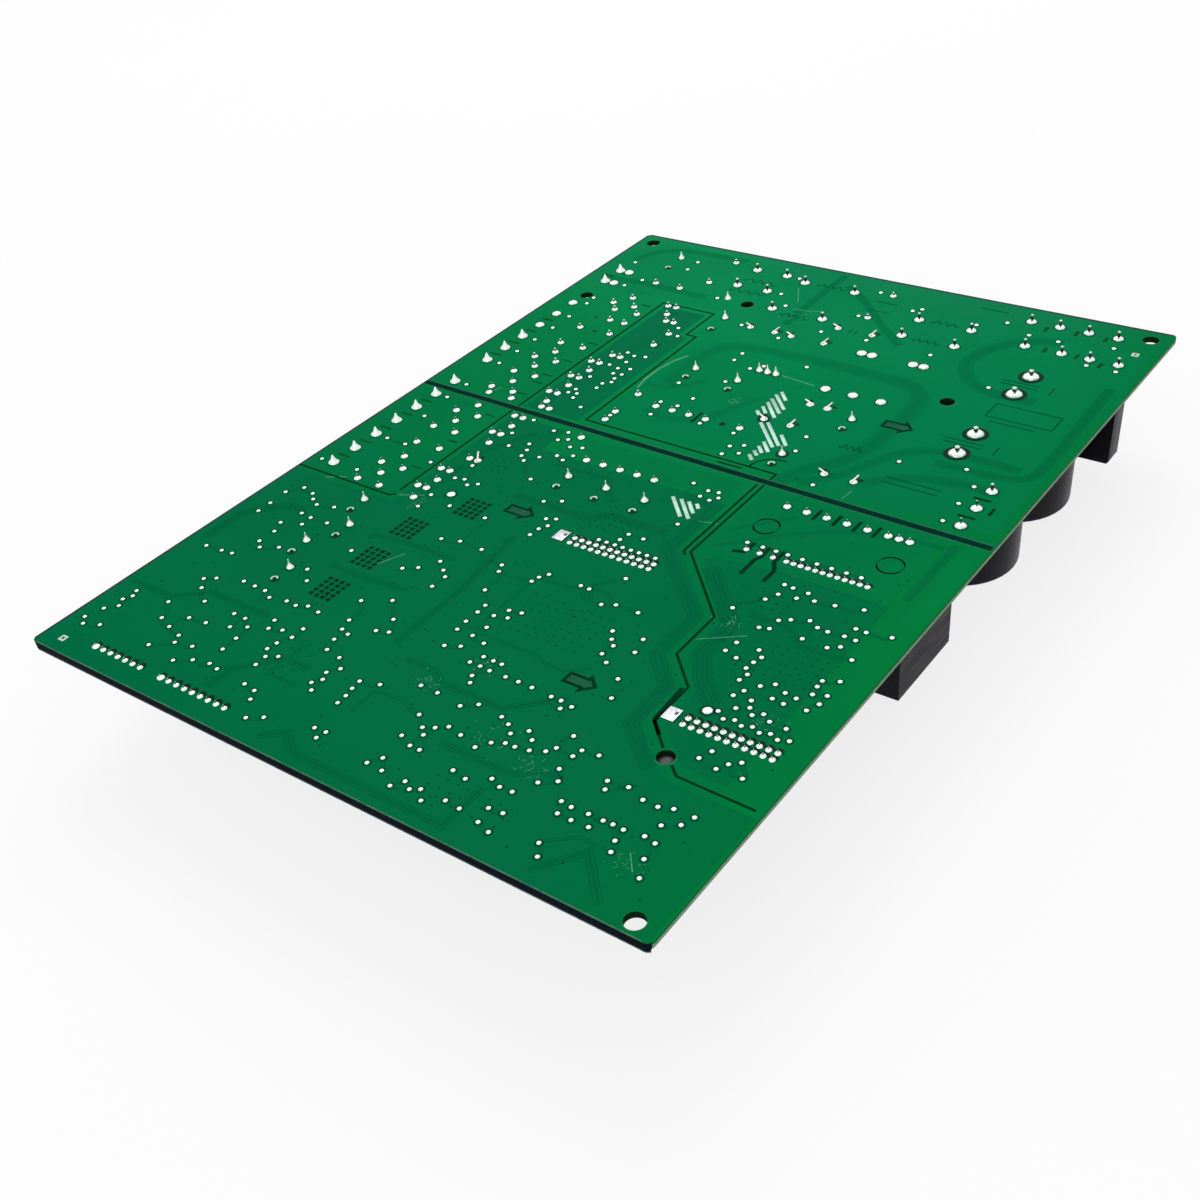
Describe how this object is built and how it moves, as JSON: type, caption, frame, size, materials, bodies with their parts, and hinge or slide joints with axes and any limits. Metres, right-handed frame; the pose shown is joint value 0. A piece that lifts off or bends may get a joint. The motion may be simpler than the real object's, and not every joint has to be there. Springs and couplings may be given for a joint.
{
  "type": "refrigerator control board",
  "caption": "Rectangular power and control circuit board, solder side up, with relays, connectors, transformer, chokes, capacitors and heatsinks hanging below.",
  "frame": {"origin": "middle of the board in X and Y, at the level that the tallest components stand on", "axes": "+X along the board's long edge, +Y along its short edge, +Z out of the solder side, upwards"},
  "size_m": [0.24, 0.168, 0.0339],
  "materials": {
    "laminate": "satin",
    "solder": "satin",
    "can_sleeve": "satin",
    "dark_aluminium": "black anodised",
    "tinned_leads": "bright",
    "ferrite": "matt",
    "bobbin_plastic": "matt",
    "winding_tape": "satin",
    "copper_winding": "enamelled",
    "relay_case": "satin",
    "solid_relay_case": "matt",
    "film_case": "satin",
    "disc_coating": "satin",
    "thermistor_coating": "satin",
    "fuse_glass": "clear",
    "clip_metal": "bright",
    "header_plastic": "satin",
    "box_plastic": "satin",
    "resistor_coating": "satin",
    "chip_case": "matt",
    "passive_body": "matt"
  },
  "bodies": {
    "root": {"axial_resistors": "resistor_coating", "box_header_1": "box_plastic", "box_header_2": "box_plastic", "bridge_rectifier": "chip_case", "bus_capacitor_1": "can_sleeve", "bus_capacitor_2": "can_sleeve", "chip_passives": "passive_body", "choke_windings": "copper_winding", "circuit_board": "laminate", "component_leads": "tinned_leads", "compressor_header": "header_plastic", "connector_pins": "tinned_leads", "controllers": "chip_case", "disc_capacitors": "disc_coating", "driver_chips": "chip_case", "film_capacitors": "film_case", "filter_electrolytic": "can_sleeve", "fuse": "fuse_glass", "fuse_clips": "clip_metal", "heater_header": "header_plastic", "inrush_thermistor": "thermistor_coating", "inverter_heatsink": "dark_aluminium", "inverter_module": "chip_case", "line_choke_1_bobbin": "bobbin_plastic", "line_choke_1_core": "ferrite", "line_choke_2_bobbin": "bobbin_plastic", "line_choke_2_core": "ferrite", "line_choke_3_bobbin": "bobbin_plastic", "line_choke_3_core": "ferrite", "load_header_1": "header_plastic", "load_header_2": "header_plastic", "logic_chips": "chip_case", "optocouplers": "chip_case", "power_relay": "relay_case", "reactor_header": "header_plastic", "rectifier_heatsink": "dark_aluminium", "relay_1": "relay_case", "relay_2": "relay_case", "relay_3": "relay_case", "relay_4": "relay_case", "relay_5": "relay_case", "relay_6": "relay_case", "relay_7": "relay_case", "relay_8": "relay_case", "small_electrolytics": "can_sleeve", "solder_joints": "solder", "solder_lands": "solder", "solid_state_relay_1": "solid_relay_case", "solid_state_relay_2": "solid_relay_case", "solid_state_relay_3": "solid_relay_case", "solid_state_relay_4": "solid_relay_case", "supply_header": "header_plastic", "switching_transistor": "chip_case", "transformer_bobbin": "bobbin_plastic", "transformer_core": "ferrite", "transformer_winding": "winding_tape", "transistor_heatsink": "dark_aluminium", "varistor": "disc_coating", "wafer_connector_1": "header_plastic", "wafer_connector_2": "header_plastic"}
  },
  "joints": []
}
